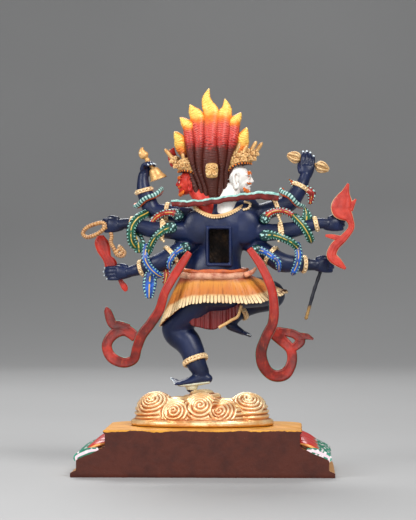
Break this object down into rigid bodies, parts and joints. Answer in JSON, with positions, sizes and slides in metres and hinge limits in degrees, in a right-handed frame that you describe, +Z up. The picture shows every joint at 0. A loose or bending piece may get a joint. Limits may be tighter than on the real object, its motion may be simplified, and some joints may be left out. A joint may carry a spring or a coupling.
{
  "type": "painted deity statue",
  "caption": "Wrathful many-armed standing deity with upswept flame hair, holding ritual emblems, dancing on a gilt cloud base and a stepped lotus plinth with a flat back.",
  "frame": {"origin": "middle of the plinth's underside from side to side, on the floor, in the plane of the standing figure", "axes": "+Z up; the figure faces -Y and the plinth's flat back faces +Y; the figure's own left is +X"},
  "size_m": [0.1571, 0.0971, 0.215],
  "materials": {
    "blue_skin": "satin navy paint on cast resin",
    "red_skin": "matt red paint",
    "white_skin": "matt cream-white paint",
    "hair": "matt paint, brown at the neck to yellow at the flame tips",
    "gold_trim": "satin gold paint with red-brown shading",
    "tiger_skirt": "matt orange and ochre paint with a cream fringe",
    "red_cloth": "satin dark red paint",
    "red_scarf": "satin red paint with a teal edge",
    "green_scarf": "satin green paint with white dots",
    "blue_scarf": "satin blue paint",
    "shoulder_cloth": "matt dark red paint with a pale turquoise edge",
    "nail_white": "satin white paint",
    "cloud_gold": "satin pale gold paint with orange-brown lines",
    "plinth_brown": "matt red-brown paint",
    "plinth_top": "matt ochre paint",
    "petal_paint": "matt red, green and gold paint",
    "sash_red": "satin red paint with teal edge lines",
    "emblem_gold": "satin gold paint",
    "rope_brown": "matt brown paint",
    "knife_red": "satin red paint",
    "banner_red": "satin red paint with a cream edge",
    "rod_dark": "matt dark paint with a gold end"
  },
  "bodies": {
    "root": {"plinth": "plinth_brown", "cloud_base": "cloud_gold", "figure": "blue_skin", "shoulder_scarf": "shoulder_cloth", "left_sash": "sash_red", "right_sash": "sash_red", "bell": "emblem_gold", "vajra": "emblem_gold", "noose": "rope_brown", "knife": "knife_red", "flame_banner": "banner_red", "rod": "rod_dark"}
  },
  "joints": []
}
